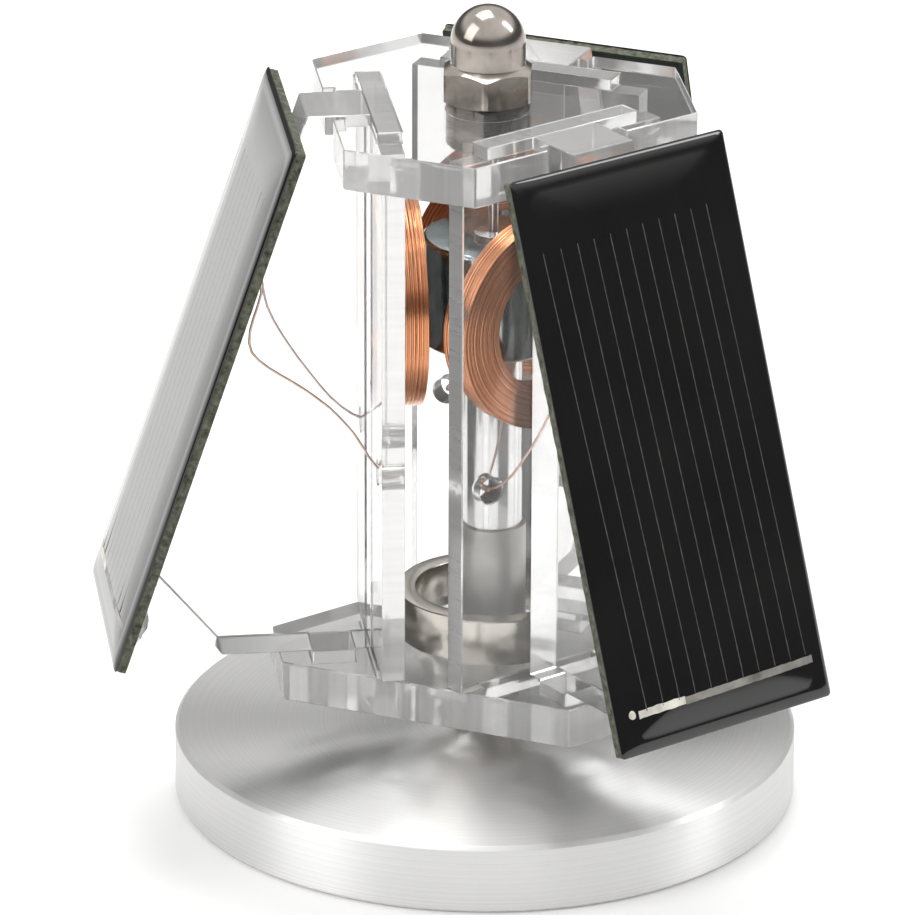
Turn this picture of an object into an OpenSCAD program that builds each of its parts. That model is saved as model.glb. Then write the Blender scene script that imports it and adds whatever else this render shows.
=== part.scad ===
// Vertical solar motor: a clear three-sided rotor with coils and slanted solar panels hangs from a
// needle that stands on a magnet, at the top of a post on a heavy turned base. Z is the spin axis.

/* [Base] */
// Diameter of the base disc
base_d = 72; // [66:1:90]
// Thickness of the base disc
base_h = 8.2; // [7:0.1:9.5]
// Chamfer round both edges of the base disc
base_chamfer = 0.5; // [0.2:0.1:1]

/* [Post] */
// Diameter of the lower post
post_d = 7.8; // [7:0.1:9]
// Height of the step between the post and the polished rod
post_top = 33.5; // [28:0.5:40]
// Diameter of the polished rod
rod_d = 7; // [5.5:0.1:7.4]
// Diameter of the magnet
magnet_d = 15; // [10:0.5:15]
// Length of the magnet
magnet_h = 12.8; // [8:0.1:12.8]
// Height of the magnet's lower face
magnet_z = 55.4; // [52:0.1:55.4]

/* [Rotor cage] */
// Thickness of the two clear plates
plate_t = 4.75; // [4:0.05:5]
// Height of the top face of the bottom plate
floor_z = 19.5; // [18:0.1:21]
// Height of the top face of the top plate
top_z = 84.5; // [84:0.1:88]
// Axis to the top plate's sides that face the panels
top_panel_side = 18.2; // [17.6:0.1:19]
// Axis to the top plate's sides between the panels
top_gap_side = 22.7; // [22:0.1:24]
// Axis to the bottom plate's sides that face the panels
bottom_panel_side = 24.4; // [23:0.1:26]
// Axis to the bottom plate's sides between the panels
bottom_gap_side = 18.1; // [17.6:0.1:19]
// Width of each coil board
board_w = 28; // [26:0.5:29]
// Thickness of each coil board
board_t = 2.7; // [2.5:0.1:3]
// Axis to the inner face of each coil board
board_r = 11.05; // [10.8:0.05:11.4]
// Thickness of each radial fin
fin_t = 8.5; // [5:0.5:9]

/* [Coils] */
// Outer diameter of each coil
coil_d = 25; // [22:0.5:25]
// Inner diameter of each coil
coil_bore = 15; // [12:0.5:16]
// Thickness of each coil along its axis
coil_t = 3; // [2:0.1:3.2]
// Height of the coils' centres
coil_z = 61; // [60.6:0.1:61.4]

/* [Panels] */
// Width of each solar panel
panel_w = 30; // [26:0.5:34]
// Length of each solar panel along its slope
panel_l = 65; // [60:0.5:66]
// Slant of the panels from the vertical, in degrees
slant = 18.8; // [16:0.2:20]
// Axis to the top edge of a panel's front face
panel_r = 24.05; // [23.6:0.05:25]
// Height of the top edge of a panel's front face
panel_z = 84.4; // [84:0.1:85]
// Number of contact lines on each cell
finger_count = 11; // [5:1:13]

/* [Hidden] */
SIDES = [["a", 0], ["b", -120], ["c", 120]];

$fn = 64;
NUDGE = 0.01;           // how far a cutter runs past the face that it opens

// Base and post
stud_d = 4;
stud_z = 3.2;
stud_l = 10.6;
rod_tenon_d = 5;
rod_tenon_l = 6;
rod_chamfer = 0.4;
magnet_chamfer = 0.4;
magnet_top = magnet_z + magnet_h;

// Needle, bush and jewel, from the tip of the needle
needle_d = 1.2;
needle_foot_d = 4.4;
needle_foot_h = 0.6;
needle_tip_z = 79.1;
needle_cone_l = 2.6;
needle_tip_d = 0.16;
bush_d = 9.4;
bush_z = 75.5;
bush_mouth_d = 6.4;
bush_cone_l = 2.5;
bush_chamfer = 0.5;
jewel_d = 3;
jewel_l = 1.8;
jewel_dimple_d = 2;
jewel_dimple_l = 1.05;
jewel_z = bush_z + bush_cone_l;

// Cap nut and the stud of the bush
nut_flats = 9.8;
nut_hex_h = 3.9;
nut_turn = 50;
nut_chamfer = 0.5;
nut_corner_r = nut_flats / 2 / cos(30);
dome_d = 8.5;
dome_z = 91.15;
thread_d = 6;
thread_l = 5.8;

// Cage
hub_bore_d = 12;
ring_d = 20.4;
ring_bore_d = 16;
ring_h = 5.5;
tab_w = 21;
notch_w = 11;
notch_depth = 1.4;
fin_in_r = board_r + board_t;
fin_tab_in_r = 15.6;
fin_tab_out_r = 20.5;
fin_foot_r = 31;
fin_heel_angle = 50;
hole_d = 3;
hole_x = 9.8;
hole_z = 43.5;
tape_t = 0.9;
tape_margin = 0.8;

// Panel layers, from the front face inwards
resin_t = 0.9;
pcb_t = 1.1;
resin_round = 0.6;
cell_w = 26;
cell_l = 54;
cell_t = 0.2;
cell_s = 34.6;
cell_askew = -2;
finger_w = 0.14;
finger_pitch = 2.3;
finger_l = 52;
finger_x = -0.3;
finger_s = 34;
bar_w = 25;
bar_h = 1.15;
bar_x = 0.5;
bar_s = 60.4;
bead_d = 1.3;
bead_x = -12.8;
grid_proud = 0.03;
pad_x = 9;
left_pad_s = 15;
right_pad_s = 17;
pad_ball_r = 1.6;
pad_sunk = 1;
blob_x = 10.5;
blob_s = 59.5;
blob_ball_r = 3.2;
blob_sunk = 1.9;

// Radius of the fin's outer edge at the height z
total_t = resin_t + pcb_t + tape_t;
function fin_edge_r(z) = panel_r - total_t / cos(slant) + (panel_z - z) * tan(slant);

// The heel of the fin, where its rising lower edge meets its outer edge
heel_rise = (fin_edge_r(floor_z) - fin_foot_r) / (1 / tan(fin_heel_angle) + tan(slant));
fin_heel_z = floor_z + heel_rise;

// Leads of enamelled wire. Each point is [sideways, radius, height], beside panel a.
lead_d = 0.3;
coil_lead_d = 0.3;
LEFT_LEAD = [
    [-9.0, 26.6, 69.4], [-9.0, 25.9, 68.9], [-9.0, 25.5, 68.0], [-9.0, 25.3, 66.6], [-9.0, 25.2, 65.0],
    [-9.0, 25.2, 63.3], [-9.0, 25.1, 61.6], [-9.0, 24.9, 59.9], [-9.1, 24.5, 58.2], [-9.1, 23.8, 56.5],
    [-9.2, 22.9, 54.8], [-9.3, 21.9, 53.1], [-9.3, 20.8, 51.4], [-9.4, 19.6, 49.7], [-9.5, 18.4, 48.0],
    [-9.6, 17.2, 46.5], [-9.7, 15.9, 45.2], [-9.8, 14.6, 44.2], [-9.8, 13.3, 43.6], [-9.8, 12.0, 43.5]
];
RIGHT_LEAD = [
    [9.0, 27.2, 67.5], [9.0, 26.7, 66.8], [9.0, 26.7, 65.5], [9.0, 27.1, 64.0], [9.0, 27.6, 62.5],
    [9.0, 28.0, 61.0], [9.0, 28.1, 59.6], [9.0, 27.8, 58.4], [9.0, 27.0, 57.4], [9.1, 25.9, 56.5],
    [9.1, 24.6, 55.6], [9.2, 23.2, 54.7], [9.2, 21.8, 53.7], [9.3, 20.4, 52.6], [9.4, 19.0, 51.4],
    [9.5, 17.7, 50.0], [9.6, 16.5, 48.5], [9.7, 15.5, 46.9], [9.8, 14.6, 45.3], [9.8, 13.7, 44.1],
    [9.8, 12.0, 43.5]
];
COIL_LEAD = [
    [7.0, 10.7, 50.8], [7.2, 10.8, 49.8], [7.5, 10.8, 48.4], [7.9, 10.8, 47.0],
    [8.4, 10.8, 45.6], [9.0, 10.9, 44.4], [9.5, 11.2, 43.7], [9.8, 12.0, 43.5]
];

// Small helpers
function unit(v) = v / norm(v);
function turned(p, angle) = [p.x * cos(angle) - p.y * sin(angle), p.x * sin(angle) + p.y * cos(angle)];
function flipped(route) = [for (p = route) [-p.x, p.y, p.z]];

// Corners of a three-sided plate: panel_side faces the panels and gap_side the gaps between them
function plate_corners(panel_side, gap_side) =
    let (half = (gap_side - panel_side / 2) / sin(60))
    [for (side = [0:2], end = [-1, 1]) turned([end * half, -panel_side], side * 120)];

module beside(angle) { rotate([0, 0, angle]) children(); }
module on_three_sides() { for (side = [0:2]) beside(side * 120) children(); }

// A flat outline of [sideways, height], given a thickness outwards from radius r
module standing_sheet(r, thickness) {
    translate([0, -r, 0]) rotate([90, 0, 0]) linear_extrude(thickness) children();
}

// A flat outline of [radius, height], given a thickness sideways
module radial_sheet(thickness) {
    rotate([0, 0, -90]) rotate([90, 0, 0]) linear_extrude(thickness, center = true) children();
}

// A panel's own frame: x sideways, y inwards from the front face, z up the slope from the top edge
module on_panel() { translate([0, -panel_r, panel_z]) rotate([-slant, 0, 0]) children(); }

// A round wire along a route of [sideways, radius, height]
module wire(route, diameter) {
    sides = 8;
    points = [for (p = route) [p.x, -p.y, p.z]];
    last = len(points) - 1;
    rings = [
        for (i = [0:last])
            let (
                along = unit(points[min(i + 1, last)] - points[max(i - 1, 0)]),
                across = unit(cross(along, [1, 0, 0])),
                up = cross(across, along)
            )
            for (k = [0:sides - 1])
                points[i] + diameter / 2 * (across * cos(k * 360 / sides) + up * sin(k * 360 / sides))
    ];
    walls = [
        for (i = [0:last - 1], k = [0:sides - 1])
            let (next = (k + 1) % sides)
            [i * sides + k, i * sides + next, (i + 1) * sides + next, (i + 1) * sides + k]
    ];
    start = [for (k = [sides - 1:-1:0]) k];
    end = [for (k = [0:sides - 1]) last * sides + k];
    polyhedron(rings, concat([start, end], walls));
}

// Base and post

module base_disc() {
    r = base_d / 2;
    outline = [
        [0, 0], [r - base_chamfer, 0], [r, base_chamfer],
        [r, base_h - base_chamfer], [r - base_chamfer, base_h], [0, base_h]
    ];
    color("gainsboro") difference() {
        rotate_extrude($fn = 128) polygon(outline);
        translate([0, 0, stud_z]) cylinder(d = stud_d, h = base_h);
    }
}

module post_stud() {
    color("dimgray") translate([0, 0, stud_z]) cylinder(d = stud_d, h = stud_l);
}

module lower_post() {
    color("darkgray") difference() {
        translate([0, 0, base_h]) cylinder(d = post_d, h = post_top - base_h);
        translate([0, 0, base_h - NUDGE]) cylinder(d = stud_d, h = stud_z + stud_l - base_h + NUDGE);
        translate([0, 0, post_top - rod_tenon_l]) cylinder(d = rod_tenon_d, h = rod_tenon_l + NUDGE);
    }
}

module upper_rod() {
    r = rod_d / 2;
    tenon_r = rod_tenon_d / 2;
    outline = [
        [0, post_top - rod_tenon_l], [tenon_r, post_top - rod_tenon_l], [tenon_r, post_top], [r, post_top],
        [r, magnet_z - rod_chamfer], [r - rod_chamfer, magnet_z], [0, magnet_z]
    ];
    color("silver") rotate_extrude() polygon(outline);
}

module magnet() {
    r = magnet_d / 2;
    outline = [
        [0, magnet_z], [r - magnet_chamfer, magnet_z], [r, magnet_z + magnet_chamfer],
        [r, magnet_top - magnet_chamfer], [r - magnet_chamfer, magnet_top], [0, magnet_top]
    ];
    color("slategray") rotate_extrude() polygon(outline);
}

module pivot_needle() {
    foot_top = magnet_top + needle_foot_h;
    outline = [
        [0, magnet_top], [needle_foot_d / 2, magnet_top], [needle_foot_d / 2, foot_top],
        [needle_d / 2, foot_top], [needle_d / 2, needle_tip_z - needle_cone_l],
        [needle_tip_d / 2, needle_tip_z], [0, needle_tip_z]
    ];
    color("lightsteelblue") rotate_extrude() polygon(outline);
}

// Rotor: plates, hub and nut

module top_plate() {
    cut_h = plate_t + 2 * NUDGE;
    color("whitesmoke", 0.4) translate([0, 0, top_z - plate_t]) difference() {
        linear_extrude(plate_t) polygon(plate_corners(top_panel_side, top_gap_side));
        translate([0, 0, -NUDGE]) cylinder(d = bush_d, h = cut_h);
        on_three_sides() {
            translate([-tab_w / 2, -fin_in_r, -NUDGE]) cube([tab_w, board_t, cut_h]);
            translate([-fin_t / 2, -top_panel_side - 1, -NUDGE])
                cube([fin_t, top_panel_side + 1 - fin_in_r + NUDGE, cut_h]);
            translate([-notch_w / 2, -top_panel_side - 1, -NUDGE]) cube([notch_w, notch_depth + 1, cut_h]);
        }
    }
}

module bottom_plate() {
    cut_h = plate_t + 2 * NUDGE;
    color("whitesmoke", 0.4) translate([0, 0, floor_z - plate_t]) difference() {
        linear_extrude(plate_t) polygon(plate_corners(bottom_panel_side, bottom_gap_side));
        translate([0, 0, -NUDGE]) cylinder(d = hub_bore_d, h = cut_h);
        on_three_sides() {
            translate([-tab_w / 2, -fin_in_r, -NUDGE]) cube([tab_w, board_t, cut_h]);
            translate([-fin_t / 2, -fin_tab_out_r, -NUDGE])
                cube([fin_t, fin_tab_out_r - fin_tab_in_r, cut_h]);
        }
    }
}

module ballast_ring() {
    color("rosybrown") translate([0, 0, floor_z]) difference() {
        cylinder(d = ring_d, h = ring_h);
        translate([0, 0, -NUDGE]) cylinder(d = ring_bore_d, h = ring_h + 2 * NUDGE);
    }
}

module pivot_bush() {
    r = bush_d / 2;
    outline = [
        [bush_mouth_d / 2, bush_z], [r - bush_chamfer, bush_z], [r, bush_z + bush_chamfer], [r, top_z],
        [thread_d / 2, top_z], [thread_d / 2, top_z + thread_l], [0, top_z + thread_l],
        [0, jewel_z + jewel_l], [jewel_d / 2, jewel_z + jewel_l], [jewel_d / 2, jewel_z]
    ];
    color("dimgray") rotate_extrude() polygon(outline);
}

module pivot_jewel() {
    outline = [
        [jewel_dimple_d / 2, jewel_z], [jewel_d / 2, jewel_z], [jewel_d / 2, jewel_z + jewel_l],
        [0, jewel_z + jewel_l], [0, jewel_z + jewel_dimple_l]
    ];
    color("crimson") rotate_extrude() polygon(outline);
}

module cap_nut() {
    shoulder = nut_chamfer * tan(30);
    corner_outline = [
        [0, 0], [nut_corner_r - nut_chamfer, 0], [nut_corner_r, shoulder],
        [nut_corner_r, nut_hex_h - shoulder], [nut_corner_r - 2 * nut_chamfer, nut_hex_h + shoulder],
        [0, nut_hex_h + shoulder]
    ];
    color("silver") difference() {
        union() {
            translate([0, 0, top_z]) rotate([0, 0, nut_turn]) intersection() {
                cylinder(r = nut_corner_r, h = nut_hex_h, $fn = 6);
                rotate_extrude() polygon(corner_outline);
            }
            translate([0, 0, top_z + nut_hex_h / 2]) cylinder(d = dome_d, h = dome_z - top_z - nut_hex_h / 2);
            intersection() {
                translate([0, 0, dome_z]) sphere(d = dome_d);
                translate([0, 0, dome_z]) cylinder(d = dome_d + 1, h = dome_d);
            }
        }
        translate([0, 0, top_z - NUDGE]) cylinder(d = thread_d, h = thread_l + NUDGE);
    }
}

// Rotor: one side of the cage, beside panel a

module coil_board() {
    low = floor_z - plate_t;
    color("whitesmoke", 0.4) standing_sheet(board_r, board_t) difference() {
        union() {
            translate([-board_w / 2, floor_z]) square([board_w, top_z - plate_t - floor_z]);
            translate([-tab_w / 2, low]) square([tab_w, top_z - low]);
        }
        for (end = [-1, 1]) translate([end * hole_x, hole_z]) circle(d = hole_d);
    }
}

module coil() {
    color("peru") translate([0, -board_r + coil_t, coil_z]) rotate([90, 0, 0]) difference() {
        cylinder(d = coil_d, h = coil_t);
        translate([0, 0, -NUDGE]) cylinder(d = coil_bore, h = coil_t + 2 * NUDGE);
    }
}

module fin() {
    tab_z = floor_z - plate_t;
    outline = [
        [fin_in_r, floor_z], [fin_tab_in_r, floor_z], [fin_tab_in_r, tab_z], [fin_tab_out_r, tab_z],
        [fin_tab_out_r, floor_z], [fin_foot_r, floor_z], [fin_edge_r(fin_heel_z), fin_heel_z],
        [fin_edge_r(top_z), top_z], [fin_in_r, top_z]
    ];
    color("whitesmoke", 0.4) radial_sheet(fin_t) polygon(outline);
}

module fin_tape() {
    low = (panel_z - fin_heel_z) / cos(slant) - tape_margin;
    color("white", 0.5) on_panel() translate([-fin_t / 2, resin_t + pcb_t, -low])
        cube([fin_t, tape_t, low - 2 * tape_margin]);
}

// Rotor: one solar panel and its wiring

module panel_board() {
    color("darkolivegreen") on_panel() translate([-panel_w / 2, resin_t, -panel_l])
        cube([panel_w, pcb_t, panel_l]);
}

module solar_cell() {
    color("midnightblue") on_panel() translate([0, resin_t - cell_t, -cell_s]) rotate([0, cell_askew, 0])
        translate([-cell_w / 2, 0, -cell_l / 2]) cube([cell_w, cell_t, cell_l]);
}

module resin_cover() {
    color("black") on_panel() difference() {
        hull() {
            translate([-panel_w / 2, resin_t - NUDGE, -panel_l]) cube([panel_w, NUDGE, panel_l]);
            translate([-panel_w / 2, resin_round, -panel_l]) cube([panel_w, NUDGE, panel_l]);
            translate([resin_round - panel_w / 2, 0, resin_round - panel_l])
                cube([panel_w - 2 * resin_round, NUDGE, panel_l - 2 * resin_round]);
        }
        translate([0, resin_t - cell_t, -cell_s]) rotate([0, cell_askew, 0])
            translate([-cell_w / 2, 0, -cell_l / 2]) cube([cell_w, cell_t + NUDGE, cell_l]);
    }
}

module contact_grid() {
    color("silver") on_panel() {
        translate([finger_x, -grid_proud, -finger_s]) rotate([0, cell_askew, 0])
            for (k = [0:finger_count - 1])
                translate([(k - (finger_count - 1) / 2) * finger_pitch - finger_w / 2, 0, -finger_l / 2])
                    cube([finger_w, grid_proud, finger_l]);
        translate([bar_x, -grid_proud, -bar_s]) rotate([0, cell_askew / 2, 0])
            translate([-bar_w / 2, 0, -bar_h / 2]) cube([bar_w, grid_proud, bar_h]);
        translate([bead_x, 0, -bar_s]) rotate([90, 0, 0]) cylinder(d = bead_d, h = 4 * grid_proud);
    }
}

// A dome of solder on the back of the panel: a ball sunk into the face
module solder_dome(x, s, ball_r, sunk) {
    translate([x, resin_t + pcb_t - sunk, -s]) intersection() {
        sphere(r = ball_r);
        translate([-ball_r, sunk, -ball_r]) cube(2 * ball_r);
    }
}

module solder_pads() {
    color("silver") on_panel() {
        solder_dome(-pad_x, left_pad_s, pad_ball_r, pad_sunk);
        solder_dome(pad_x, right_pad_s, pad_ball_r, pad_sunk);
        solder_dome(blob_x, blob_s, blob_ball_r, blob_sunk);
    }
}

module coil_leads() {
    color("sienna") {
        wire(COIL_LEAD, coil_lead_d);
        wire(flipped(COIL_LEAD), coil_lead_d);
    }
}

module lead_joints() {
    joint_d = 1.1;
    joint_in_r = board_r + 0.5;
    joint_l = board_t - 0.8;
    color("lightgray") for (end = [-1, 1])
        translate([end * hole_x, -joint_in_r, hole_z]) rotate([90, 0, 0]) cylinder(d = joint_d, h = joint_l);
}

module left_lead() { color("sienna") wire(LEFT_LEAD, lead_d); }
module right_lead() { color("sienna") wire(RIGHT_LEAD, lead_d); }

base_disc();
post_stud();
lower_post();
upper_rod();
magnet();
pivot_needle();
top_plate();
bottom_plate();
ballast_ring();
pivot_bush();
pivot_jewel();
cap_nut();
for (side = SIDES) {
    beside(side[1]) coil_board();
    beside(side[1]) coil();
    beside(side[1]) fin();
    beside(side[1]) fin_tape();
    beside(side[1]) panel_board();
    beside(side[1]) solar_cell();
    beside(side[1]) resin_cover();
    beside(side[1]) contact_grid();
    beside(side[1]) solder_pads();
    beside(side[1]) coil_leads();
    beside(side[1]) lead_joints();
    beside(side[1]) left_lead();
    beside(side[1]) right_lead();
}
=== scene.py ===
import math
import random

import bmesh
import bpy
from mathutils import Matrix, Vector, noise


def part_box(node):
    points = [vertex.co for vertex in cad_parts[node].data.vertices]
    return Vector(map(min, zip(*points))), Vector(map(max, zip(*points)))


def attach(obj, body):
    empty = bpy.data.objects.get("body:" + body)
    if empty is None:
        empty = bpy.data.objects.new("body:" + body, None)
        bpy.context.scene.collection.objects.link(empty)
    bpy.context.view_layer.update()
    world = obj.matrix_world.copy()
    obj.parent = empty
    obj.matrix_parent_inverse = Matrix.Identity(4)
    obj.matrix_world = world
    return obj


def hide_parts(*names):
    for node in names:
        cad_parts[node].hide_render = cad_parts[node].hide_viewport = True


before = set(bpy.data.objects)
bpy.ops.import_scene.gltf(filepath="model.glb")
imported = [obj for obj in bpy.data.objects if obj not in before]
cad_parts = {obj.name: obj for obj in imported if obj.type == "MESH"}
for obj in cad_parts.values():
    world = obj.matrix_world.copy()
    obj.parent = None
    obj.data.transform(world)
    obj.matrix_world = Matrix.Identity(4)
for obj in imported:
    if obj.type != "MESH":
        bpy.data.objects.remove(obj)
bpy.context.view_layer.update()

MM = 0.001
SIDES = {"a": 0, "b": -120, "c": 120}

# ---------------------------------------------------------------- sizes, in millimetres

# Names end in _R for a radius, _W, _H, _L and _T for a width, height, length and thickness, and in
# _X, _Z and _S for a place sideways, above the floor and down a panel's slope from its top edge.
# SLANT and CELL_ASKEW are in degrees.

# The solar panels: their slant, and the middle of the top edge of a front face
SLANT = 18.8
PANEL_R = 24.05
PANEL_Z = 84.4
PANEL_W = 30
PANEL_L = 65
PCB_T = 1.1

# The poured resin: its surface dips by MENISCUS_DROP within MENISCUS_W of a side, and its edge rolls
# over within RESIN_ROUND of the side, RESIN_ROLL deep
RESIN_T = 0.9
RESIN_ROUND = 1.6
RESIN_ROLL = 0.45
RESIN_CORNER = 0.5
CORNER_GROWTH = 0.7
MENISCUS_W = 7
MENISCUS_DROP = 0.4

# What is printed on a panel: the fingers, and the busbar with its tinned end and its bead of solder
FINGER_COUNT = 11
FINGER_PITCH = 2.3
FINGER_L = 52
FINGER_W = 0.12
FINGER_X = -0.3
FINGER_S = 34
CELL_ASKEW = -2
BAR_W = 25
BAR_H = 1.15
BAR_X = 0.5
BAR_S = 60.4
PLAIN_H = 0.75 * BAR_H
TINNED_W = 6.5
TINNED_H = 0.8 * BAR_H
TINNED_S = BAR_S + 0.1
BEAD_X = -12.8
BEAD_R = 0.5
GRID_PROUD = 0.006
GRID_BURIED = 0.05
STRIP_STEP = 0.5

# The coil boards and coils
BOARD_R = 11.05
COIL_D = 25
COIL_BORE = 15
COIL_T = 3
COIL_Z = 61
WIRE_PITCH = 0.22
HOLE_X = 9.8
HOLE_Z = 43.5

# The leads of enamelled wire, as [sideways, radius, height] beside panel a
LEAD_D = 0.3
LEFT_LEAD = [
    (-9.0, 26.6, 69.4), (-9.0, 25.9, 68.9), (-9.0, 25.5, 68.0), (-9.0, 25.3, 66.6), (-9.0, 25.2, 65.0),
    (-9.0, 25.2, 63.3), (-9.0, 25.1, 61.6), (-9.0, 24.9, 59.9), (-9.1, 24.5, 58.2), (-9.1, 23.8, 56.5),
    (-9.2, 22.9, 54.8), (-9.3, 21.9, 53.1), (-9.3, 20.8, 51.4), (-9.4, 19.6, 49.7), (-9.5, 18.4, 48.0),
    (-9.6, 17.2, 46.5), (-9.7, 15.9, 45.2), (-9.8, 14.6, 44.2), (-9.8, 13.3, 43.6), (-9.8, 12.0, 43.5),
]
RIGHT_LEAD = [
    (9.0, 27.2, 67.5), (9.0, 26.7, 66.8), (9.0, 26.7, 65.5), (9.0, 27.1, 64.0), (9.0, 27.6, 62.5),
    (9.0, 28.0, 61.0), (9.0, 28.1, 59.6), (9.0, 27.8, 58.4), (9.0, 27.0, 57.4), (9.1, 25.9, 56.5),
    (9.1, 24.6, 55.6), (9.2, 23.2, 54.7), (9.2, 21.8, 53.7), (9.3, 20.4, 52.6), (9.4, 19.0, 51.4),
    (9.5, 17.7, 50.0), (9.6, 16.5, 48.5), (9.7, 15.5, 46.9), (9.8, 14.6, 45.3), (9.8, 13.7, 44.1),
    (9.8, 12.0, 43.5),
]
COIL_LEAD = [
    (7.0, 10.7, 50.8), (7.2, 10.8, 49.8), (7.5, 10.8, 48.4), (7.9, 10.8, 47.0),
    (8.4, 10.8, 45.6), (9.0, 10.9, 44.4), (9.5, 11.2, 43.7), (9.8, 12.0, 43.5),
]

# ---------------------------------------------------------------- camera

# The distance and the target are in metres, and the angles in degrees.
LENS_MM = 294.6
SENSOR_MM = 36
CAMERA_AZIMUTH = -37.44
CAMERA_ELEVATION = 21.82
CAMERA_DISTANCE = 0.859
CAMERA_ROLL = 0.2
CAMERA_TARGET = (-0.0026, 0.0020, 0.0408)


def direction(azimuth, elevation):
    """The direction from the object, in degrees: azimuth 0 is in front (-y), and 90 on the right (+x)."""
    a, e = math.radians(azimuth), math.radians(elevation)
    return Vector((math.sin(a) * math.cos(e), -math.cos(a) * math.cos(e), math.sin(e)))


def make_camera():
    back = direction(CAMERA_AZIMUTH, CAMERA_ELEVATION)
    data = bpy.data.cameras.new("camera")
    data.lens = LENS_MM
    data.sensor_width = SENSOR_MM
    data.clip_start = 0.05
    data.clip_end = 20
    camera = bpy.data.objects.new("camera", data)
    bpy.context.scene.collection.objects.link(camera)
    camera.location = Vector(CAMERA_TARGET) + back * CAMERA_DISTANCE
    aim = (-back).to_track_quat("-Z", "Y").to_matrix().to_4x4()
    roll = Matrix.Rotation(math.radians(CAMERA_ROLL), 4, "Z")
    camera.rotation_euler = (aim @ roll).to_euler()
    bpy.context.scene.camera = camera


# ---------------------------------------------------------------- materials

# Most of a noise's values lie between these two.
NOISE_LOW = 0.3
NOISE_HIGH = 0.7


class Shader:
    """One material's node tree, with short calls for the nodes that the materials share."""

    def __init__(self, name, **constants):
        self.material = bpy.data.materials.new(name)
        self.material.use_nodes = True
        self.tree = self.material.node_tree
        self.principled = self.tree.nodes["Principled BSDF"]
        for socket, value in constants.items():
            self.principled.inputs[socket.replace("_", " ")].default_value = value
        self.place = self.node("ShaderNodeTexCoord").outputs["Object"]

    def node(self, kind, **settings):
        made = self.tree.nodes.new(kind)
        for name, value in settings.items():
            setattr(made, name, value)
        return made

    def link(self, source, target):
        self.tree.links.new(source, target)

    def stretched(self, scale, angle=0):
        """The object's own coordinates, turned about Z and scaled along each axis."""
        turn = self.node("ShaderNodeVectorRotate", rotation_type="Z_AXIS")
        turn.inputs["Angle"].default_value = math.radians(angle)
        grow = self.node("ShaderNodeVectorMath", operation="MULTIPLY")
        grow.inputs[1].default_value = scale
        self.link(self.place, turn.inputs["Vector"])
        self.link(turn.outputs["Vector"], grow.inputs[0])
        return grow.outputs["Vector"]

    def grain(self, scale, detail=3, where=None, rough=0.5):
        """Noise in the object's own coordinates, or in `where`."""
        made = self.node("ShaderNodeTexNoise")
        made.inputs["Scale"].default_value = scale
        made.inputs["Detail"].default_value = detail
        made.inputs["Roughness"].default_value = rough
        self.link(where or self.place, made.inputs["Vector"])
        return made.outputs["Fac"]

    def rings(self, where, flat_axes, long_axis, lines_per_mm):
        """Noise that changes only with the distance from an axis and along it, as tool marks do."""
        split = self.node("ShaderNodeSeparateXYZ")
        flat = self.node("ShaderNodeCombineXYZ")
        reach = self.node("ShaderNodeVectorMath", operation="LENGTH")
        total = self.node("ShaderNodeMath", operation="ADD")
        lines = self.node("ShaderNodeTexNoise", noise_dimensions="1D")
        lines.inputs["Scale"].default_value = lines_per_mm / MM
        lines.inputs["Detail"].default_value = 2
        self.link(where, split.inputs["Vector"])
        for axis in flat_axes:
            self.link(split.outputs[axis], flat.inputs[axis])
        self.link(flat.outputs["Vector"], reach.inputs[0])
        self.link(reach.outputs["Value"], total.inputs[0])
        self.link(split.outputs[long_axis], total.inputs[1])
        self.link(total.outputs["Value"], lines.inputs["W"])
        return lines.outputs["Fac"]

    def turning(self, lines_per_mm):
        return self.rings(self.place, "XY", "Z", lines_per_mm)

    def winding(self, lines_per_mm, angle):
        """Rings round the axis of the coil beside the panel at that angle."""
        lower = self.node("ShaderNodeVectorMath", operation="SUBTRACT")
        lower.inputs[1].default_value = (0, 0, COIL_Z * MM)
        self.link(self.stretched((1, 1, 1), -angle), lower.inputs[0])
        return self.rings(lower.outputs["Vector"], "XZ", "Y", lines_per_mm)

    def colour(self, fac, dark, light, low=NOISE_LOW, high=NOISE_HIGH):
        """The base colour: `dark` where the noise is under `low`, and `light` where it is over `high`."""
        ramp = self.node("ShaderNodeValToRGB")
        for element, position, shade in zip(ramp.color_ramp.elements, (low, high), (dark, light)):
            element.position = position
            element.color = (*shade, 1)
        self.link(fac, ramp.inputs["Fac"])
        self.link(ramp.outputs["Color"], self.principled.inputs["Base Color"])

    def roughness(self, fac, low, high):
        spread = self.node("ShaderNodeMapRange")
        spread.inputs["From Min"].default_value = NOISE_LOW
        spread.inputs["From Max"].default_value = NOISE_HIGH
        spread.inputs["To Min"].default_value = low
        spread.inputs["To Max"].default_value = high
        self.link(fac, spread.inputs["Value"])
        self.link(spread.outputs["Result"], self.principled.inputs["Roughness"])

    def bump(self, fac, depth_mm):
        made = self.node("ShaderNodeBump")
        made.inputs["Distance"].default_value = depth_mm * MM
        made.inputs["Strength"].default_value = 1
        self.link(fac, made.inputs["Height"])
        self.link(made.outputs["Normal"], self.principled.inputs["Normal"])

    def round_tangent(self):
        """The grain of the metal runs round the Z axis."""
        made = self.node("ShaderNodeTangent", direction_type="RADIAL", axis="Z")
        self.link(made.outputs["Tangent"], self.principled.inputs["Tangent"])


def turned_aluminium():
    s = Shader("turned_aluminium", Metallic=1.0, Anisotropic=0.97, Anisotropic_Rotation=0.25)
    marks = s.turning(4.5)
    s.colour(marks, (0.86, 0.86, 0.855), (0.95, 0.95, 0.94))
    s.roughness(marks, 0.38, 0.46)
    s.bump(marks, 0.004)
    s.round_tangent()
    return s.material


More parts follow.
